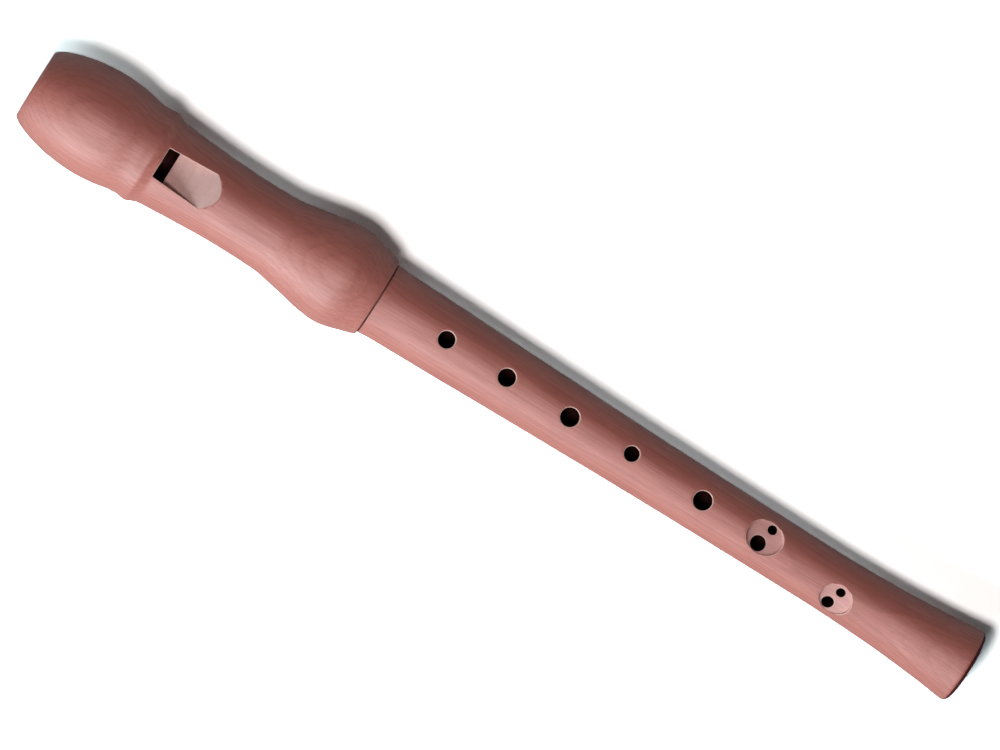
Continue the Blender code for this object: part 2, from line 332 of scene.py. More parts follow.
def bored(
    name, station, across, radius, ease, floor, surface,
    turn=0.0, lowest=-BEYOND_OUTSIDE, spread=0.0, slot=BORE_AND_SHADE,
):
    """A round cutter along a radius of the instrument, whose eased mouth follows the surface.

    floor lists the cutter's lowest rings as (height, reach). surface is a function of the place,
    surface(along, side), and a ring's height is one too, or a number. The walls spread from lowest
    upwards.
    """
    # The walls take the slot given; the default is the bore's near-black tone, partly painted shade
    rounds = [2 * pi * i / HOLE_SIDES for i in range(HOLE_SIDES)]
    walls = []
    for angle in rounds:
        rise = surface(station + radius * cos(angle), across + radius * sin(angle)) - lowest
        walls.append(radius + spread * max(0.0, rise))

    def ring(reaches, height):
        loop = []
        for angle, reach in zip(rounds, reaches):
            along = station + reach * cos(angle)
            side = across + reach * sin(angle)
            loop.append((along - MID, side, height(along, side)))
        return loop

    def level(height):
        return height if callable(height) else lambda along, side: height

    def below_surface(depth, least):
        return lambda along, side: max(least, surface(along, side) - depth)

    lip = eased_lip(ease)
    loops = [ring([reach] * HOLE_SIDES, level(height)) for height, reach in floor]
    for step, (out, depth) in enumerate(lip):
        least = lowest + (step + 1) * SLIVER
        loops.append(ring([wall + out for wall in walls], below_surface(depth, least)))
    mouth = lip[-1][0]
    loops.append(ring([wall + mouth for wall in walls], level(BEYOND_OUTSIDE)))
    first = len(floor)
    return stacked(name, loops, first, first + len(lip) - 1, turn, slot)


def cut(piece, *cutters):
    """Cuts the tools out of the piece and removes them."""
    for cutter in cutters:
        modifier = piece.modifiers.new(cutter.name, "BOOLEAN")
        modifier.operation = "DIFFERENCE"
        modifier.solver = "EXACT"
        modifier.object = cutter
    bake(piece)
    for cutter in cutters:
        bpy.data.objects.remove(cutter, do_unlink=True)


def bake(piece):
    """Turns the piece's modifiers into its mesh."""
    graph = bpy.context.evaluated_depsgraph_get()
    made = bpy.data.meshes.new_from_object(
        piece.evaluated_get(graph), preserve_all_data_layers=True, depsgraph=graph
    )
    old = piece.data
    piece.modifiers.clear()
    piece.data = made
    bpy.data.meshes.remove(old)
    made.name = piece.name


def dress(piece, looks, body, node):
    """Gives a piece its materials, smooth shading and body, and hides the packed node it stands
    for.
    """
    for look in looks:
        piece.data.materials.append(look)
    if len(looks) == 1:
        for face in piece.data.polygons:
            face.material_index = 0
    piece.data.shade_smooth()
    piece.data.set_sharp_from_angle(angle=SHARP_ANGLE)
    normals = piece.modifiers.new("normals", "WEIGHTED_NORMAL")
    normals.keep_sharp = True
    bake(piece)
    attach(piece, body)
    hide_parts(node)


def tapering(start, start_value, end, end_value):
    """A value that changes evenly from one station to another."""
    rate = (end_value - start_value) / (end - start)
    return lambda station: start_value + rate * (station - start)


# Head joint

def head_outline():
    """The head from the tip over the outside to its end, and back through the socket and bore."""
    outside = TIP_EDGE + HEAD_CURVE + HEAD_END_EDGE
    socket_floor = HEAD_END - SOCKET_DEPTH
    inside = [
        (HEAD_END, SOCKET_R + CORK_EDGE),
        (HEAD_END - CORK_EDGE, SOCKET_R),
        (socket_floor, SOCKET_R),
        (socket_floor, HEAD_BORE_R),
        (0.0, HEAD_BORE_R),
    ]
    return outside + inside


ARC_CENTRE_X = -BEAK_UNDER_ARC_R * sin(BEAK_UNDER_TIP_SLOPE)
ARC_CENTRE_Z = BEAK_UNDER_TIP - BEAK_UNDER_ARC_R * cos(BEAK_UNDER_TIP_SLOPE)


def beak_arc(station):
    """The height of the hollow arc under the beak."""
    return ARC_CENTRE_Z + sqrt(BEAK_UNDER_ARC_R**2 - (station - ARC_CENTRE_X) ** 2)


def beak_underside(name):
    """The hollow arc under the beak, as a cutter that reaches below and past the instrument."""
    outline = []
    for i in range(BEAK_UNDER_STEPS + 1):
        station = PAST_TIP + (BEAK_UNDER_END - PAST_TIP) * i / BEAK_UNDER_STEPS
        outline.append((station, beak_arc(station)))
    outline += [(BEAK_UNDER_END, -BEYOND_OUTSIDE), (PAST_TIP, -BEYOND_OUTSIDE)]
    return milled(name, outline, lambda station: BEYOND_OUTSIDE, slot=OUTSIDE)


def beak_rim_line():
    """The edge round the beak's underside: each point with the normals of the two sides there."""
    end = BEAK_UNDER_END
    while radius_at(HEAD_CURVE, end) < -beak_arc(end):
        end -= SLIVER
    start = PAST_TIP / 2
    line = []
    for i in range(-BEAK_RIM_STEPS, BEAK_RIM_STEPS + 1):
        back = abs(i) / BEAK_RIM_STEPS
        station = start + (end - start) * (1 - back**2)
        radius = radius_at(HEAD_CURVE, station)
        height = beak_arc(station)
        across = sqrt(max(0.0, radius**2 - height**2)) * (1 if i > 0 else -1)
        nudge = 2 * WELD
        rise = radius_at(HEAD_CURVE, station + nudge) - radius_at(HEAD_CURVE, station - nudge)
        slope = rise / (2 * nudge)
        outer = Vector((-slope, across / radius, height / radius)).normalized()
        under = Vector((ARC_CENTRE_X - station, 0.0, ARC_CENTRE_Z - height)).normalized()
        line.append((Vector((station - MID, across, height)), outer, under))
    return line


def beak_rim_section(point, outer, under):
    """The rim cutter's section at a point: a hollow arc inside the wood, closed beyond the edge."""
    centre = point - BEAK_RIM_EASE * (outer + under) / (1 + outer.dot(under))
    opening = acos(outer.dot(under))
    arc = []
    for share in BEAK_RIM_SHARES:
        toward = sin((1 - share) * opening) * outer + sin(share * opening) * under
        arc.append(centre + BEAK_RIM_EASE * toward / sin(opening))
    before = arc[0] + (arc[0] - arc[1]) * BEAK_RIM_REACH
    after = arc[-1] + (arc[-1] - arc[-2]) * BEAK_RIM_REACH
    outside = point + BEAK_RIM_OUT * (outer + under).normalized()
    return [before] + arc + [after, outside]


def beak_rim(name):
    """The rounding of the edge round the beak's underside, as a cutter swept along that edge."""
    shape = bmesh.new()
    loops = []
    for point, outer, under in beak_rim_line():
        section = beak_rim_section(point, outer, under)
        loops.append([shape.verts.new(corner) for corner in section])
    for before, after in zip(loops, loops[1:]):
        for i in range(len(before)):
            shape.faces.new((before[i - 1], before[i], after[i], after[i - 1]))
    shape.faces.new(loops[0])
    shape.faces.new(loops[-1])
    bmesh.ops.triangulate(shape, faces=shape.faces)
    for face in shape.faces:
        # The beak's rounded rim takes the pale edge tone, partly wear and partly painted highlight
        face.material_index = WORN_AND_LIT
    return object_from(name, shape)


windway_half_width = tapering(0.0, WINDWAY_TIP_HALF_WIDTH, WINDOW_START, WINDOW_HALF_WIDTH)
ramp_half_width = tapering(WINDOW_START, WINDOW_HALF_WIDTH, RAMP_END, RAMP_END_HALF_WIDTH)


def windway(name):
    """The slot that carries the breath over the block, lower and narrower towards the window."""
    exit_lip = WINDOW_START + EXIT_LIP
    roof = [
        (PAST_TIP, WINDWAY_ROOF_TIP),
        (0.0, WINDWAY_ROOF_TIP),
        (WINDOW_START / 2, WINDWAY_ROOF_MIDDLE),
        (WINDOW_START - WINDWAY_CHAMFER, WINDWAY_ROOF_EXIT),
        (exit_lip, WINDWAY_ROOF_EXIT + WINDWAY_CHAMFER + EXIT_LIP),
    ]
    floor = [(exit_lip, WITHIN_BORE), (PAST_TIP, WITHIN_BORE)]
    return milled(name, roof + floor, windway_half_width)


def ramp_height(station):
    """The height of the ramp's plane, which runs on under the window."""
    return LABIUM_TOP + RAMP_SLOPE * (station - LABIUM_EDGE)


def window_and_ramp(name):
    """The window over the windway's end, and the sloping ramp that ends in the labium's edge."""
    outline = [
        (WINDOW_START, WITHIN_BORE),
        (LABIUM_EDGE, WITHIN_BORE),
        (LABIUM_EDGE, LABIUM_TOP),
        (RAMP_END, ramp_height(RAMP_END)),
        (RAMP_END, BEYOND_OUTSIDE),
        (WINDOW_START, BEYOND_OUTSIDE),
    ]
    return milled(name, outline, ramp_half_width)


def window_rim_plan():
    """Points round the window and ramp seen from above, each with its step outwards."""
    corners = [
        Vector((WINDOW_START, -WINDOW_HALF_WIDTH)),
        Vector((RAMP_END, -RAMP_END_HALF_WIDTH)),
        Vector((RAMP_END, RAMP_END_HALF_WIDTH)),
        Vector((WINDOW_START, WINDOW_HALF_WIDTH)),
    ]
    outs = []
    for i, start in enumerate(corners):
        side = (corners[(i + 1) % 4] - start).normalized()
        outs.append(Vector((side.y, -side.x)))
    plan = []
    for i, count in enumerate(WINDOW_RIM_STEPS):
        start, end = corners[i], corners[(i + 1) % 4]
        out, before = outs[i], outs[i - 1]
        plan.append((start, (out + before) / (1 + out.dot(before))))
        for step in range(1, count):
            plan.append((start.lerp(end, step / count), out))
    return plan


def window_rim(name):
    """The eased upper edge round the window and ramp, as a cutter that stays above the ramp."""
    plan = window_rim_plan()

    def loop(reach, height):
        made = []
        for point, out in plan:
            place = point + reach * out
            made.append((place.x - MID, place.y, height(place)))
        return made

    def lip_height(depth, lift):
        return lambda place: max(
            ramp_height(place.x) + lift, height_on(HEAD_CURVE, place.x, place.y) - depth
        )

    lip = eased_lip(WINDOW_EASE)
    loops = [loop(-SLIVER, lambda place: ramp_height(place.x) + 2 * SLIVER)]
    for step, (out, depth) in enumerate(lip):
        loops.append(loop(out - SLIVER, lip_height(depth, (step + 3) * SLIVER)))
    loops.append(loop(lip[-1][0] - SLIVER, lambda place: BEYOND_OUTSIDE))
    return stacked(name, loops, 0, len(loops) - 2)


def labium_underside(name):
    """The flat under the labium, which fades into the bore."""
    start = (WINDOW_START + LABIUM_EDGE) / 2
    outline = [
        (start, WITHIN_BORE), (start, LABIUM_UNDERSIDE),
        (LABIUM_UNDERSIDE_END - LABIUM_UNDERSIDE_FADE, LABIUM_UNDERSIDE),
        (LABIUM_UNDERSIDE_END, HEAD_BORE_R - FINE_GAP), (LABIUM_UNDERSIDE_END, WITHIN_BORE),
    ]
    return milled(name, outline, lambda station: WINDOW_HALF_WIDTH)


def make_head(looks):
    """The head joint: beak, windway, window, labium and socket."""
    head = turned("head_wood", head_outline(), HEAD_END - HEAD_END_GRAIN_AND_SHADE)
    cut(head, beak_underside("beak_cutter"), windway("windway_cutter"))
    cut(head, window_and_ramp("window_cutter"), labium_underside("labium_cutter"))
    cut(head, window_rim("window_rim_cutter"), beak_rim("beak_rim_cutter"))
    dress(head, looks, "head", "head_joint")
    return head


def make_block(look):
    """The block: a round plug with a raised floor that fills the lower part of the windway."""
    radius = HEAD_BORE_R - FINE_GAP
    tip = 3 * FINE_GAP
    edge = 4 * FINE_GAP
    outline = [
        (tip, 0.0), (tip, radius - edge), (tip + edge, radius),
        (WINDOW_START - edge, radius), (WINDOW_START, radius - edge), (WINDOW_START, 0.0),
    ]
    block = turned("block_wood", outline)
    floor = [
        (tip, WITHIN_BORE),
        (tip, WINDWAY_FLOOR),
        (WINDOW_START - WINDWAY_CHAMFER, WINDWAY_FLOOR),
        (WINDOW_START, WINDWAY_FLOOR - WINDWAY_CHAMFER),
        (WINDOW_START, WITHIN_BORE),
    ]
    ridge = milled("block_floor", floor, lambda station: windway_half_width(station) - FINE_GAP)
    union = block.modifiers.new("floor", "BOOLEAN")
    union.operation = "UNION"
    union.solver = "EXACT"
    union.object = ridge
    bake(block)
    bpy.data.objects.remove(ridge, do_unlink=True)
    cut(block, beak_underside("block_cutter"))
    dress(block, [look], "block", "block")
    return block


# Body joint and cork

def body_outline():
    """The body from the tenon's end over the cork groove to the foot, and back through the bore."""
    shoulder = BODY[0]
    tenon = [
        (TENON_END, TENON_R - TENON_CHAMFER), (TENON_END + TENON_CHAMFER, TENON_R),
        (CORK_START, TENON_R), (CORK_START, CORK_GROOVE_R),
        (CORK_END, CORK_GROOVE_R), (CORK_END, TENON_R),
        (shoulder[0], TENON_R),
    ]
    foot = quarter_round(BODY[-1], FOOT_EDGE_R, FOOT_EDGE_STEPS)
    end, radius = BODY_BORE[-1]
    bore = [(end, radius + BORE_MOUTH_CHAMFER), (end - BORE_MOUTH_CHAMFER, radius)]
    bore += BODY_BORE[-2::-1]
    return tenon + BODY_CURVE + foot + bore


def on_body(along, side):
    """The height of the body's outside above the axis."""
    return height_on(BODY_CURVE, along, side)


def tone_hole(name, station, diameter, turn):
    """A single hole, undercut so that it widens into the bore."""
    radius = diameter / 2
    wide = radius + UNDERCUT
    floor = [(WITHIN_BORE, wide), (UNDERCUT_LOW, wide), (UNDERCUT_HIGH, radius)]
    return bored(name, station, 0.0, radius, HOLE_EASE, floor, on_body, HOLE_LINE + turn)


def double_hole(number, recess, holes):
    """Cutters for two small holes and for the recess that they share."""
    station, radius = recess["station"], recess["radius"]
    turn = HOLE_LINE + recess["turn"]

    def hollow(along, side):
        """The height of the recess's floor, which has its stated height halfway out."""
        return recess["floor"] + ((along - station) ** 2 - radius**2 / 4) / (2 * HOLLOW_R)

    floor = [(hollow, radius * step / HOLLOW_STEPS) for step in range(1, HOLLOW_STEPS + 1)]
    cutters = [
        bored(
            f"recess_{number}", station, 0.0, radius, RECESS_EASE, floor, on_body, turn,
            hollow(station + radius, 0.0), recess["spread"], CUT,
        )
    ]
    for letter, (along, across, diameter) in zip("ab", holes):
        cutters.append(
            bored(
                f"hole_{number}{letter}", station + along, across, diameter / 2, PAIR_EASE,
                [(WITHIN_BORE, diameter / 2)], hollow, turn,
            )
        )
    return cutters


def make_body(looks):
    """The body joint: tenon, five single holes, a thumb hole, two double holes and the foot."""
    body = turned("body_wood", body_outline(), LENGTH - FOOT_EDGE_R)
    cut(body, *(tone_hole(*hole) for hole in TONE_HOLES))
    cut(body, *double_hole(6, RECESS_6, HOLES_6))
    cut(body, *double_hole(7, RECESS_7, HOLES_7))
    dress(body, looks, "body", "body_joint")
    return body


def make_cork(look):
    """The cork ring in the tenon's groove, its edges pressed round."""
    start, end = CORK_START + FINE_GAP, CORK_END - FINE_GAP
    inner = CORK_GROOVE_R + FINE_GAP
    left = []
    for i in range(CORK_EDGE_STEPS + 1):
        turn = i / CORK_EDGE_STEPS * pi / 2
        left.append((start + CORK_EDGE * (1 - cos(turn)), CORK_R - CORK_EDGE * (1 - sin(turn))))
    right = [(start + end - station, radius) for station, radius in reversed(left)]
    cork = turned("cork_ring", [(start, inner)] + left + right + [(end, inner)])
    dress(cork, [look], "cork", "tenon_cork")
    return cork


# Materials

def node(tree, kind, options=None, **inputs):
    """Adds a shader node, and sets or links its inputs by name or, as _0 or _1, by number."""
    made = tree.nodes.new(kind)
    for key, value in (options or {}).items():
        setattr(made, key, value)
    for key, value in inputs.items():
        socket = made.inputs[int(key[1:])] if key[0] == "_" else made.inputs[key.replace("_", " ")]
        if isinstance(value, bpy.types.NodeSocket):
            tree.links.new(value, socket)
        else:
            socket.default_value = value
    return made


def math(tree, operation, a, b=0.0):
    """Works a number out from one or two others."""
    return node(tree, "ShaderNodeMath", {"operation": operation}, _0=a, _1=b).outputs[0]


def noise(tree, place, scale, detail=3.0, roughness=0.5):
    """Soft noise from 0 to 1."""
    made = node(
        tree, "ShaderNodeTexNoise",
        Vector=place, Scale=scale, Detail=detail, Roughness=roughness,
    )
    return made.outputs["Fac"]


def mapped(tree, place, location=(0, 0, 0), rotation=(0, 0, 0), scale=(1, 1, 1)):
    """The place, scaled, turned and moved."""
    made = node(
        tree, "ShaderNodeMapping",
        Vector=place, Location=location, Rotation=rotation, Scale=scale,
    )
    return made.outputs[0]


def ranged(tree, value, low, high, to_low, to_high):
    """Carries a value from one range to another, and keeps it inside."""
    made = node(
        tree, "ShaderNodeMapRange",
        Value=value, From_Min=low, From_Max=high, To_Min=to_low, To_Max=to_high,
    )
    return made.outputs[0]


def mixed(tree, share, a, b, blend="MIX"):
    """Mixes two colours. share is a number or a socket."""
    options = {"data_type": "RGBA", "blend_type": blend}
    return node(tree, "ShaderNodeMix", options, _0=share, _6=a, _7=b).outputs[2]


def distance_from_pith(tree, wood):
    """The distance from the X axis of the wood's own space, in which the growth rings are round."""
    parts = node(tree, "ShaderNodeSeparateXYZ", Vector=wood).outputs
    across = math(tree, "POWER", parts[1], 2.0)
    upward = math(tree, "POWER", parts[2], 2.0)
    return math(tree, "SQRT", math(tree, "ADD", across, upward))


def add_relief(tree, shader, height, strength, distance):
    """Gives the shader a fine relief under its varnish."""
    bump = node(tree, "ShaderNodeBump", Strength=strength, Distance=distance, Height=height)
    tree.links.new(bump.outputs[0], shader.inputs["Normal"])


def add_shades(tree, shade, patterns):
    """Adds patterns to a shade. Each is (pattern, its low, its high, how far it goes each way)."""
    for pattern, low, high, depth in patterns:
        shade = math(tree, "ADD", shade, ranged(tree, pattern, low, high, -depth, depth))
    return shade


def new_material(name):
    """A material with its node tree, its shader, and the place on the object."""
    made = bpy.data.materials.new(name)
    made.use_nodes = True
    tree = made.node_tree
    shader = tree.nodes["Principled BSDF"]
    place = node(tree, "ShaderNodeTexCoord").outputs["Object"]
    return made, tree, shader, place


# Pearwood's tones, each its pale and its dark: stained, cut after staining so that the wood shows,
# cut and then stained thinly, an edge paled partly by wear and partly as a painted highlight, a
# bore darkened partly by oil and partly as painted shade, and end grain, which drinks the stain and
# is darkened further as painted shade
STAINED = ((0.565, 0.190, 0.152), (0.320, 0.068, 0.050))
CUT_WOOD = ((0.740, 0.485, 0.450), (0.570, 0.325, 0.300))
THIN_STAIN = ((0.700, 0.365, 0.340), (0.515, 0.222, 0.200))
# Partly wear and partly painted highlight: eased lips of holes, window and beak are paled as if lit
WORN_AND_LIT_EDGE = ((0.780, 0.520, 0.450), (0.640, 0.370, 0.310))
# Partly oil and partly painted shade: the bore and the walls of the holes are near black, as in
# shade
OIL_AND_SHADE = ((0.032, 0.005, 0.004), (0.020, 0.003, 0.002))
# Partly end grain and partly painted shade: the rounded end faces are darkened as if in shade
END_GRAIN_AND_SHADE = ((0.110, 0.015, 0.011), (0.070, 0.009, 0.007))

# The growth rings: a year's width, how far the pith lies below the axis, how far the rings wander,
# and where in a year the late wood begins and is full
RING_WIDTH = 0.0011
PITH_BELOW = 0.052
RING_WANDER = 0.0022
LATE_BEGINS = 0.45
LATE_FULL = 0.92

# Each joint's billet: how far the pith's own space is moved along and across, and tilted
HEAD_BILLET = {"along": 0.163, "across": 0.004, "tilt": radians(0.6)}
BODY_BILLET = {"along": 0.410, "across": -0.009, "tilt": radians(-0.4)}

# The scales of the patterns, per metre across the grain
WANDER_SCALE = 42.0
MOTTLE_SCALE = 95.0
FIBRE_SCALE = 1500.0
THREAD_SCALE = 5200.0
PORE_SCALE = 5600.0

# How far each of them shades the wood from pale to dark, either way from the mean
MEAN_SHADE = 0.38
LATE_SHADE = 0.16
YEAR_SHADE = 0.05
MOTTLE_SHADE = 0.14
FIBRE_SHADE = 0.24
THREAD_SHADE = 0.13
PORE_SHARE = 0.35
PORE_TONE = 0.4


def late_wood(tree, years):
    """How far it is late wood: it comes on slowly in a year, and ends with it."""
    within = math(tree, "FRACT", years)
    rise = math(tree, "SMOOTH_MIN", ranged(tree, within, LATE_BEGINS, LATE_FULL, 0.0, 1.0), 1.0)
    return math(tree, "MULTIPLY", rise, ranged(tree, within, LATE_FULL, 1.0, 1.0, 0.0))


def pearwood(name, billet, tones=STAINED, roughness=0.54, shine=1.0):
    """Pearwood cut from a billet: growth rings about a far pith, fibres along X, and pores."""
    made, tree, shader, place = new_material(name)
    start = (billet["along"], billet["across"], PITH_BELOW)
    wood = mapped(tree, place, start, (0.0, billet["tilt"], 0.0))
    drawn_out = mapped(tree, wood, scale=(0.45, 1.0, 1.0))
    wander = noise(tree, drawn_out, WANDER_SCALE, 2.0)
    wander = ranged(tree, wander, 0.0, 1.0, -RING_WANDER, RING_WANDER)
    from_pith = math(tree, "ADD", distance_from_pith(tree, wood), wander)
    years = math(tree, "DIVIDE", from_pith, RING_WIDTH)
    each_year = node(
        tree, "ShaderNodeTexWhiteNoise", {"noise_dimensions": "1D"}, W=math(tree, "FLOOR", years)
    ).outputs["Value"]

    fibre_place = mapped(tree, place, scale=(0.035, 1.0, 1.0))
    fibres = noise(tree, fibre_place, FIBRE_SCALE, 4.0, 0.6)
    threads = noise(tree, fibre_place, THREAD_SCALE, 2.0, 0.5)
    mottle = noise(tree, mapped(tree, place, scale=(0.4, 1.0, 1.0)), MOTTLE_SCALE, 3.0, 0.55)
    pores = noise(tree, mapped(tree, place, scale=(0.12, 1.0, 1.0)), PORE_SCALE, 1.0)
    pores = ranged(tree, pores, 0.66, 0.74, 0.0, 1.0)

    shade = math(tree, "MULTIPLY", late_wood(tree, years), LATE_SHADE)
    shade = add_shades(tree, shade, [
        (each_year, 0.0, 1.0, YEAR_SHADE),
        (mottle, 0.25, 0.75, MOTTLE_SHADE),
        (fibres, 0.25, 0.75, FIBRE_SHADE),
        (threads, 0.25, 0.75, THREAD_SHADE),
    ])
    shade = math(tree, "ADD", shade, MEAN_SHADE)
    shade = node(tree, "ShaderNodeClamp", Value=shade).outputs[0]

    pale, dark = tones
    colour = mixed(tree, shade, (*pale, 1.0), (*dark, 1.0))
    pore = (*(PORE_TONE * part for part in dark), 1.0)
    colour = mixed(tree, math(tree, "MULTIPLY", pores, PORE_SHARE), colour, pore)
    tree.links.new(colour, shader.inputs["Base Color"])

    gloss = ranged(tree, fibres, 0.2, 0.8, roughness - 0.04, roughness + 0.05)
    tree.links.new(gloss, shader.inputs["Roughness"])
    relief = math(tree, "SUBTRACT", math(tree, "MULTIPLY", threads, 0.5), pores)
    relief = math(tree, "ADD", relief, math(tree, "MULTIPLY", fibres, 0.6))
    add_relief(tree, shader, relief, 0.35, 0.00002)
    shader.inputs["IOR"].default_value = 1.53
    shader.inputs["Specular IOR Level"].default_value = shine
    return made


def wooden_looks(part, billet, cut_tones):
    """The five finishes of a wooden piece, in the order of its material slots."""
    return [
        pearwood(f"pearwood_{part}", billet),
        pearwood(f"pearwood_{part}_cut", billet, cut_tones, roughness=0.60, shine=0.6),
        pearwood(f"pearwood_{part}_worn_and_lit", billet, WORN_AND_LIT_EDGE),
        pearwood(f"oiled_and_shaded_bore_{part}", billet, OIL_AND_SHADE, roughness=0.70, shine=0.1),
        pearwood(f"end_grain_and_shade_{part}", billet, END_GRAIN_AND_SHADE, roughness=0.75, shine=0.2),
    ]


# Cedar: pale and dark, a year's width, how far the pith lies beside and below the axis, its tilt,
# how far the rings wander, and the scales of that and of the fibres
CEDAR_PALE = (0.56, 0.32, 0.18, 1.0)
CEDAR_DARK = (0.34, 0.145, 0.07, 1.0)
CEDAR_RING_WIDTH = 0.0009
CEDAR_PITH = (0.0, 0.006, 0.030)
CEDAR_TILT = radians(1.5)
CEDAR_WANDER = 0.0004
CEDAR_WANDER_SCALE = 90.0
CEDAR_FIBRE_SCALE = 2600.0


def cedar(name):
    """Plain cedar with straight fine grain, for the block."""
    made, tree, shader, place = new_material(name)
    wood = mapped(tree, place, CEDAR_PITH, (0.0, CEDAR_TILT, 0.0))
    wander = noise(tree, mapped(tree, wood, scale=(0.3, 1.0, 1.0)), CEDAR_WANDER_SCALE, 2.0)
    wander = ranged(tree, wander, 0.0, 1.0, -CEDAR_WANDER, CEDAR_WANDER)
    from_pith = math(tree, "ADD", distance_from_pith(tree, wood), wander)
    years = math(tree, "DIVIDE", from_pith, CEDAR_RING_WIDTH)
    late = math(tree, "POWER", math(tree, "FRACT", years), 3.0)
    fibre_place = mapped(tree, place, scale=(0.03, 1.0, 1.0))
    fibres = noise(tree, fibre_place, CEDAR_FIBRE_SCALE, 3.0, 0.6)
    fibre_shade = ranged(tree, fibres, 0.25, 0.75, 0.0, 0.45)
    shade = math(tree, "ADD", math(tree, "MULTIPLY", late, 0.55), fibre_shade)
    shade = node(tree, "ShaderNodeClamp", Value=shade).outputs[0]
    tree.links.new(mixed(tree, shade, CEDAR_PALE, CEDAR_DARK), shader.inputs["Base Color"])
    tree.links.new(ranged(tree, fibres, 0.2, 0.8, 0.62, 0.78), shader.inputs["Roughness"])
    add_relief(tree, shader, fibres, 0.4, 0.00003)
    return made


# Cork: its grains, pale and dark, the flecks between them, and the scales of both
CORK_PALE = (0.60, 0.41, 0.24, 1.0)
CORK_DARK = (0.45, 0.28, 0.15, 1.0)
CORK_FLECK = (0.13, 0.065, 0.035, 1.0)
CORK_GRAIN_SCALE = 1500.0
CORK_FLECK_SCALE = 900.0


def cork_bark(name):
    """Cork: pale grains of uneven size with dark flecks and pits between them."""
    made, tree, shader, place = new_material(name)
    grains = node(tree, "ShaderNodeTexVoronoi", Vector=place, Scale=CORK_GRAIN_SCALE)
    tint = node(tree, "ShaderNodeSeparateColor", Color=grains.outputs["Color"]).outputs[0]
    edges = node(
        tree, "ShaderNodeTexVoronoi", {"feature": "DISTANCE_TO_EDGE"},
        Vector=place, Scale=CORK_GRAIN_SCALE,
    ).outputs["Distance"]
    fleck_place = mapped(tree, place, scale=(0.5, 1.0, 1.0))
    flecks = noise(tree, fleck_place, CORK_FLECK_SCALE, 3.0)
    flecks = ranged(tree, flecks, 0.58, 0.66, 0.0, 1.0)
    colour = mixed(tree, tint, CORK_PALE, CORK_DARK)
    colour = mixed(tree, math(tree, "MULTIPLY", flecks, 0.75), colour, CORK_FLECK)
    tree.links.new(colour, shader.inputs["Base Color"])
    tree.links.new(ranged(tree, flecks, 0.0, 1.0, 0.78, 0.95), shader.inputs["Roughness"])
    grain_height = ranged(tree, edges, 0.0, 0.1, 0.0, 1.0)
    height = math(tree, "SUBTRACT", grain_height, math(tree, "MULTIPLY", flecks, 0.8))
    add_relief(tree, shader, height, 0.6, 0.00008)
    return made


# Table and light

# The table's radius, and the height and curve of the backdrop round it
FLOOR_R = 6.0
BACKDROP_HEIGHT = 1.6
BACKDROP_CURVE_R = 0.5
BACKDROP_CURVE_STEPS = 12
TABLE_SIDES = 96

# The table's white: for the light that it sends back, in reflections and through things, and for
# the camera. Its own glow is faint near the object, and rises to a plain white between two radii.
FLOOR_BOUNCE = 0.22
FLOOR_WHITE = 0.85
FLOOR_GAIN = 2.8
FLOOR_TINT = (0.95, 1.0, 1.0, 1.0)
GLOW_TINT = (0.97, 1.0, 1.0, 1.0)
FLOOR_GLOW = 0.03
FAR_GLOW = 0.85
GLOW_FROM = 0.35
GLOW_TO = 1.30

WORLD_COLOUR = (0.95, 0.97, 1.0, 1.0)
WORLD_LEVEL = 0.02

# Lamps. Each faces the middle of the instrument from its near side. It has its lean from straight
# overhead, its place along X, its distance, its size along X and across, its level, which is how
# bright it makes a white surface that faces it, and its colour. The lamps at the side are a little
# cool, and the one overhead is a little warm.
WARM = (1.0, 0.92, 0.90)
COOL = (0.88, 1.0, 1.03)
LAMPS = {
    "overhead": {
        "lean": radians(13), "x": -0.06, "distance": 0.95,
        "size": (0.16, 0.16), "level": 0.40, "colour": WARM,
    },
    "softbox": {
        "lean": radians(58), "x": -0.16, "distance": 0.85,
        "size": (0.60, 0.50), "level": 0.84, "colour": COOL,
    },
    "low_card": {
        "lean": radians(80), "x": -0.40, "distance": 0.85,
        "size": (0.80, 0.20), "level": 0.30, "colour": COOL,
    },
}


def table_top(name):
    """The white table and backdrop.

    What is seen of them is white, less the object's shadow. The light that they send back at the
    object is that of a darker room.
    """
    made, tree, shader, place = new_material(name)
    shader.inputs["Base Color"].default_value = (FLOOR_BOUNCE, FLOOR_BOUNCE, FLOOR_BOUNCE, 1.0)
    shader.inputs["Roughness"].default_value = 0.9
    shader.inputs["Specular IOR Level"].default_value = 0.0
    path = node(tree, "ShaderNodeLightPath").outputs
    gain = ranged(tree, path["Is Camera Ray"], 0.0, 1.0, FLOOR_WHITE, FLOOR_GAIN)
    paint = mixed(tree, 1.0, FLOOR_TINT, gain, blend="MULTIPLY")
    white = node(tree, "ShaderNodeBsdfDiffuse", Color=paint)
    distance = node(tree, "ShaderNodeVectorMath", {"operation": "LENGTH"}, _0=place)
    strength = ranged(tree, distance.outputs["Value"], GLOW_FROM, GLOW_TO, FLOOR_GLOW, FAR_GLOW)
    glow = node(tree, "ShaderNodeEmission", Color=GLOW_TINT, Strength=strength)
    lit = node(tree, "ShaderNodeAddShader", _0=white.outputs[0], _1=glow.outputs[0])
    seen = math(tree, "MAXIMUM", path["Is Camera Ray"], path["Is Glossy Ray"])
    seen = math(tree, "MAXIMUM", seen, path["Is Transmission Ray"])
    both = node(tree, "ShaderNodeMixShader", _0=seen, _1=shader.outputs[0], _2=lit.outputs[0])
    tree.links.new(both.outputs[0], tree.nodes["Material Output"].inputs["Surface"])
    return made


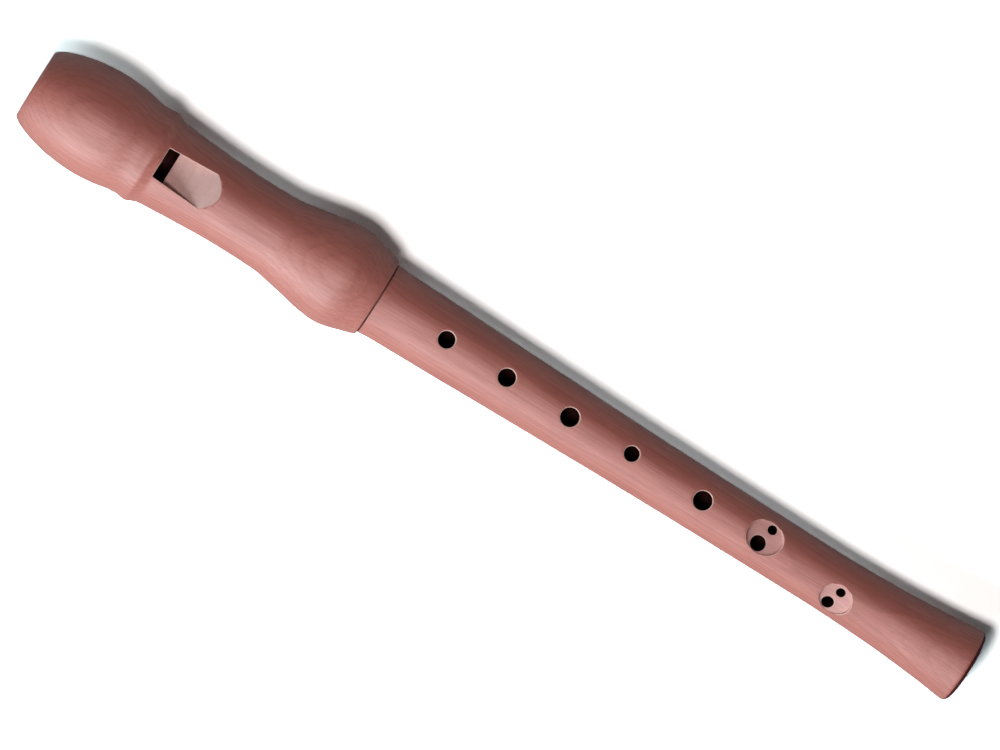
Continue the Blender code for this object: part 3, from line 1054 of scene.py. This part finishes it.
def make_table():
    """A round table that curves up into a backdrop, under the swelling and the foot's edge."""
    foot_station, foot_radius = BODY[-1]
    rest_station = max(SWELLING, key=lambda point: point[1])[0]
    foot_gap = AXIS_Z - foot_radius
    slope = foot_gap / (foot_station - rest_station)
    rest_x = rest_station - MID
    profile = [(0.0, 0.0)]
    for i in range(BACKDROP_CURVE_STEPS + 1):
        turn = i / BACKDROP_CURVE_STEPS * pi / 2
        run = FLOOR_R - BACKDROP_CURVE_R * (1 - sin(turn))
        profile.append((run, BACKDROP_CURVE_R * (1 - cos(turn))))
    profile.append((FLOOR_R, BACKDROP_HEIGHT))
    shape = bmesh.new()
    points = [shape.verts.new((run, 0.0, height)) for run, height in profile]
    edges = [shape.edges.new(pair) for pair in zip(points, points[1:])]
    bmesh.ops.spin(
        shape, geom=points + edges, cent=(0, 0, 0), axis=(0, 0, 1), angle=2 * pi,
        steps=TABLE_SIDES, use_merge=True,
    )
    bmesh.ops.remove_doubles(shape, verts=shape.verts, dist=WELD)
    for vert in shape.verts:
        vert.co.z += slope * (vert.co.x - rest_x)
    bmesh.ops.recalc_face_normals(shape, faces=shape.faces)
    mesh = bpy.data.meshes.new("table")
    shape.to_mesh(mesh)
    shape.free()
    mesh.shade_smooth()
    table = bpy.data.objects.new("table", mesh)
    bpy.context.scene.collection.objects.link(table)
    table.data.materials.append(table_top("table_white"))


def make_lamp(name, lamp):
    """A rectangular lamp that faces the instrument, unseen by the camera."""
    data = bpy.data.lights.new(name, "AREA")
    data.shape = "RECTANGLE"
    data.size, data.size_y = lamp["size"]
    data.color = lamp["colour"]
    lean, distance = lamp["lean"], lamp["distance"]
    place = Vector((lamp["x"], -distance * sin(lean), distance * cos(lean)))
    data.energy = lamp["level"] * pi**2 * place.length_squared
    obj = bpy.data.objects.new(name, data)
    bpy.context.scene.collection.objects.link(obj)
    obj.visible_camera = False
    obj.location = place + Vector((0.0, 0.0, AXIS_Z))
    back = place.normalized()
    along = (Vector((1, 0, 0)) - back.x * back).normalized()
    obj.rotation_euler = Matrix((along, back.cross(along), back)).transposed().to_euler()


def make_world():
    """The faint light of the room."""
    world = bpy.data.worlds.new("studio")
    bpy.context.scene.world = world
    world.use_nodes = True
    room = world.node_tree.nodes["Background"]
    room.inputs["Color"].default_value = WORLD_COLOUR
    room.inputs["Strength"].default_value = WORLD_LEVEL


# Camera: looks down at a station on the axis from a little towards the head, and its picture is
# turned so that the instrument runs down to the right
AIM_STATION = 0.1624
CAMERA_BACK = 0.136
CAMERA_HEIGHT = 2.096
PICTURE_TURN = radians(32.11)
LENS = 254.5


def make_camera():
    """The camera at the photograph's viewing angle."""
    data = bpy.data.cameras.new("camera")
    data.lens = LENS
    data.clip_start = 0.1
    data.clip_end = 20.0
    camera = bpy.data.objects.new("camera", data)
    bpy.context.scene.collection.objects.link(camera)
    aim = Vector((AIM_STATION - MID, 0.0, AXIS_Z))
    camera.location = aim + Vector((-CAMERA_BACK, 0.0, CAMERA_HEIGHT))
    view = (aim - camera.location).normalized()
    along = (Vector((1, 0, 0)) - view.x * view).normalized()
    across = view.cross(along)
    right = cos(PICTURE_TURN) * along - sin(PICTURE_TURN) * across
    up = right.cross(view)
    camera.rotation_euler = Matrix((right, up, -view)).transposed().to_euler()
    bpy.context.scene.camera = camera


def main():
    """Builds the pieces, their materials, the table, the lamps and the camera."""
    scene = bpy.context.scene
    scene.view_settings.view_transform = "Standard"
    make_head(wooden_looks("head", HEAD_BILLET, CUT_WOOD))
    make_block(cedar("cedar_block"))
    make_body(wooden_looks("body", BODY_BILLET, THIN_STAIN))
    make_cork(cork_bark("cork_bark"))
    make_table()
    for name, lamp in LAMPS.items():
        make_lamp(name, lamp)
    make_world()
    make_camera()


main()
